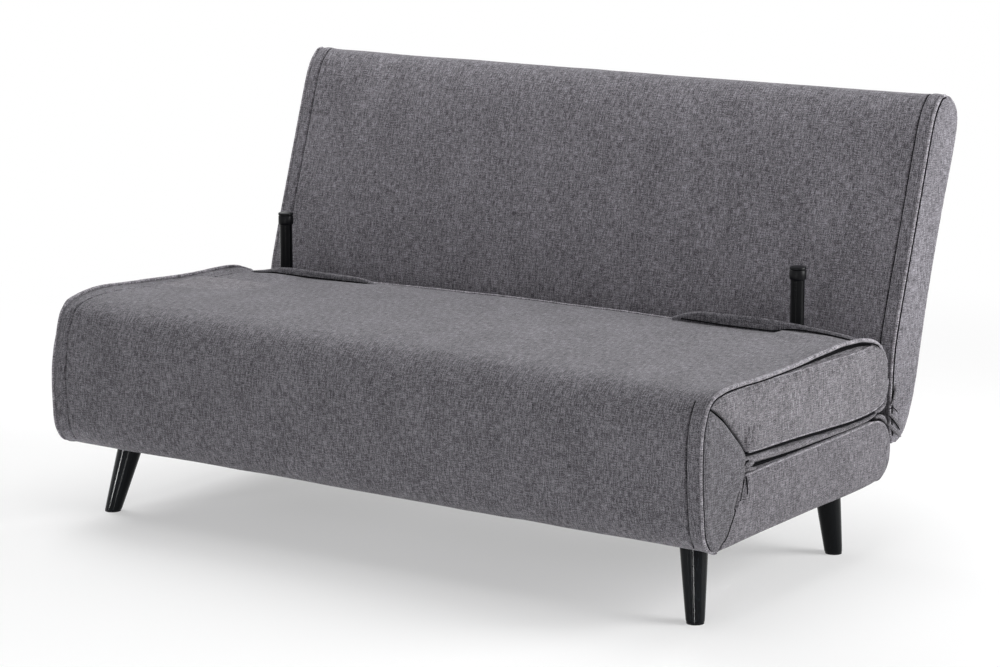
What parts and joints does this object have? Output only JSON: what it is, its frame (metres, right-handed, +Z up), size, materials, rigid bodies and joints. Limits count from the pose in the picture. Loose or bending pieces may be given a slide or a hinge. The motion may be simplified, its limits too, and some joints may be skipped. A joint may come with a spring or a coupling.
{
  "type": "click clack sofa bed",
  "caption": "Two-seat click clack sofa bed: the seat unfolds forward onto two steel legs, the backrest reclines flat.",
  "frame": {"origin": "on the floor, in the middle of the folded sofa's width and depth", "axes": "+X to the sofa's left-hand end as one sits (right in the front view), +Y to the rear, +Z up"},
  "size_m": [1.42, 0.8726, 0.8133],
  "materials": {
    "cover_fabric": "matte",
    "side_fabric": "matte",
    "lining": "matte",
    "black_lacquer": "gloss",
    "black_steel": "satin",
    "zinc_steel": "satin",
    "black_plastic": "satin",
    "slat_wood": "satin",
    "glide_felt": "matte"
  },
  "bodies": {
    "base": {"base_mattress": "side_fabric", "base_front_rail": "black_steel", "base_rear_rail": "black_steel", "base_left_rail": "black_steel", "base_right_rail": "black_steel", "base_slat_1": "slat_wood", "base_slat_2": "slat_wood", "base_slat_3": "slat_wood", "dust_cover": "lining", "leg_front_left": "black_lacquer", "leg_front_right": "black_lacquer", "leg_rear_left": "black_lacquer", "leg_rear_right": "black_lacquer", "leg_plate_front_left": "zinc_steel", "leg_plate_front_right": "zinc_steel", "leg_plate_rear_left": "zinc_steel", "leg_plate_rear_right": "zinc_steel", "glide_front_left": "glide_felt", "glide_front_right": "glide_felt", "glide_rear_left": "glide_felt", "glide_rear_right": "glide_felt", "hinge_plate_left": "zinc_steel", "hinge_plate_right": "zinc_steel", "back_pivot_left": "zinc_steel", "back_pivot_right": "zinc_steel", "front_hinge_pin_left": "zinc_steel", "front_hinge_pin_right": "zinc_steel"},
    "front_section": {"front_pad": "cover_fabric", "front_wedge": "side_fabric", "front_link_left": "black_steel", "front_link_right": "black_steel", "front_bottom_rail": "black_steel", "front_top_rail": "black_steel", "seat_hinge_pin_left": "zinc_steel", "seat_hinge_pin_right": "zinc_steel"},
    "seat_section": {"seat_pad": "cover_fabric", "seat_mattress": "side_fabric", "seat_topper": "side_fabric", "corner_roll": "cover_fabric", "seat_front_rail": "black_steel", "seat_rear_rail": "black_steel", "seat_left_rail": "black_steel", "seat_right_rail": "black_steel", "seat_slat_1": "slat_wood", "seat_slat_2": "slat_wood", "seat_slat_3": "slat_wood", "support_leg_left": "black_steel", "support_leg_right": "black_steel", "support_cap_left": "black_plastic", "support_cap_right": "black_plastic"},
    "backrest": {"back_cushion": "cover_fabric", "back_rear_panel": "side_fabric", "back_left_rail": "black_steel", "back_right_rail": "black_steel", "back_bottom_rail": "black_steel", "back_top_rail": "black_steel", "back_arm_left": "zinc_steel", "back_arm_right": "zinc_steel"},
    "pawl_left_body": {"pawl_left": "zinc_steel"},
    "pawl_right_body": {"pawl_right": "zinc_steel"}
  },
  "joints": [
    {"name": "front_fold", "type": "hinge", "parent": "base", "child": "front_section", "pos_m": [0, -0.38331, 0.1548], "axis": [1, 0, 0], "range_deg": [0, 90]},
    {"name": "seat_fold", "type": "hinge", "parent": "front_section", "child": "seat_section", "pos_m": [0, -0.38331, 0.3703], "axis": [1, 0, 0], "range_deg": [0, 90], "deforming": ["corner_roll"]},
    {"name": "back_recline", "type": "hinge", "parent": "base", "child": "backrest", "pos_m": [0, 0.21169, 0.195], "axis": [-1, 0, 0], "range_deg": [0, 72]},
    {"name": "pawl_left_lift", "type": "hinge", "parent": "base", "child": "pawl_left_body", "pos_m": [-0.6288, 0.16669, 0.221], "axis": [-1, 0, 0], "range_deg": [0, 12], "stiffness_Nm_per_rad": 0.1},
    {"name": "pawl_right_lift", "type": "hinge", "parent": "base", "child": "pawl_right_body", "pos_m": [0.6288, 0.16669, 0.221], "axis": [-1, 0, 0], "range_deg": [0, 12], "stiffness_Nm_per_rad": 0.1}
  ],
  "couplings": [
    {"joint": "pawl_right_lift", "follows": "pawl_left_lift", "ratio": 1}
  ]
}
